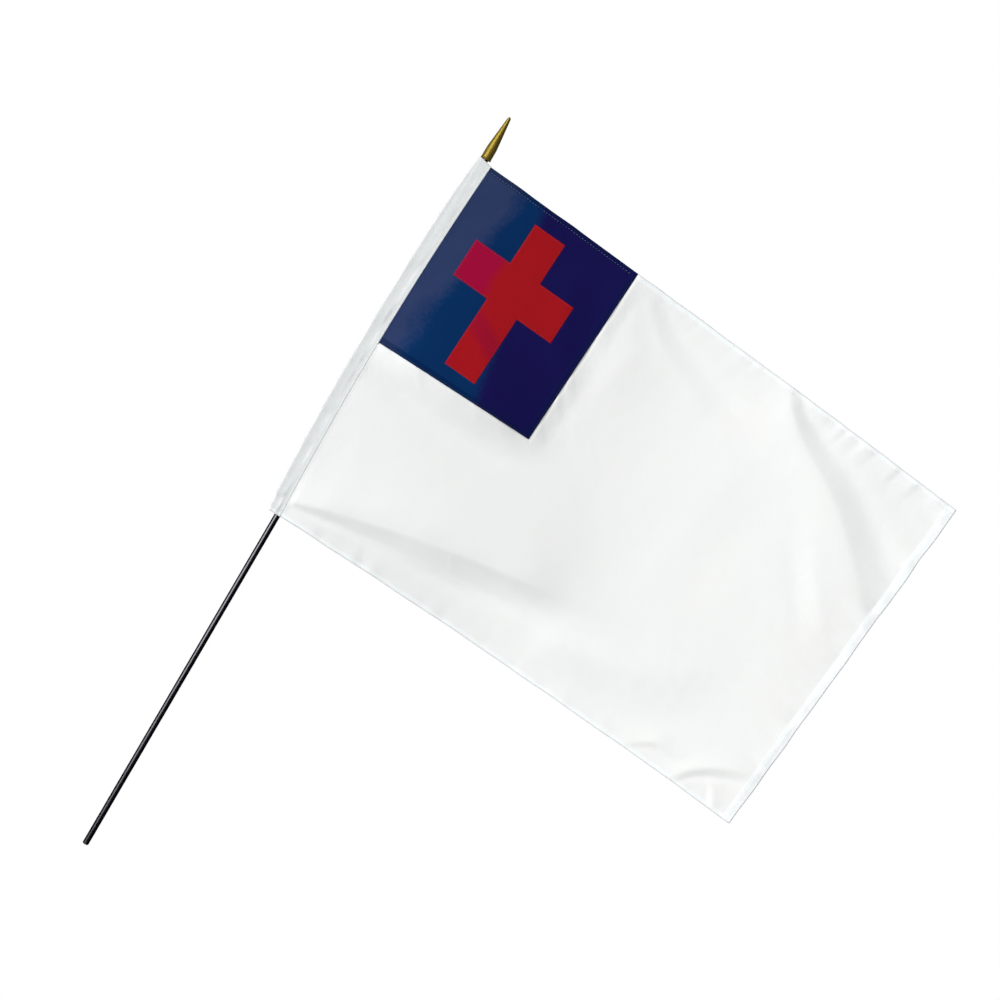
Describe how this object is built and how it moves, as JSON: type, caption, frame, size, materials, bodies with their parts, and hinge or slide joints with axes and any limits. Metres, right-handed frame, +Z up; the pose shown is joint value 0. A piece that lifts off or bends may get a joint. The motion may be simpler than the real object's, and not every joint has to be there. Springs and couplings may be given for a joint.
{
  "type": "hand flag on staff",
  "caption": "Small cloth flag with a canton and Latin cross, sewn to a pole sleeve that turns on a thin dowel staff with a spear finial.",
  "frame": {"origin": "centre of the staff's foot", "axes": "+Z up the staff to the spear, +X out along the flag to its fly end, -Y towards whoever faces the front of the flag"},
  "size_m": [0.4444, 0.0092, 0.624],
  "materials": {
    "staff": "gloss",
    "spear": "gloss",
    "white_cloth": "matte",
    "blue_cloth": "satin",
    "red_cloth": "satin",
    "white_thread": "satin",
    "blue_thread": "satin",
    "red_thread": "satin"
  },
  "bodies": {
    "staff": {"staff": "staff", "spear_finial": "spear"},
    "flag": {"pole_sleeve": "white_cloth", "field_cloth": "white_cloth", "canton_cloth": "blue_cloth", "cross_cloth": "red_cloth", "sleeve_seam_thread": "white_thread", "top_hem_thread": "white_thread", "bottom_hem_thread": "white_thread", "fly_hem_thread": "white_thread", "canton_seam_thread": "blue_thread", "cross_seam_thread": "red_thread"}
  },
  "joints": [
    {"name": "flag_turn", "type": "hinge", "parent": "staff", "child": "flag", "pos_m": [0, 0, 0.43], "axis": [0, 0, 1], "continuous": true}
  ]
}
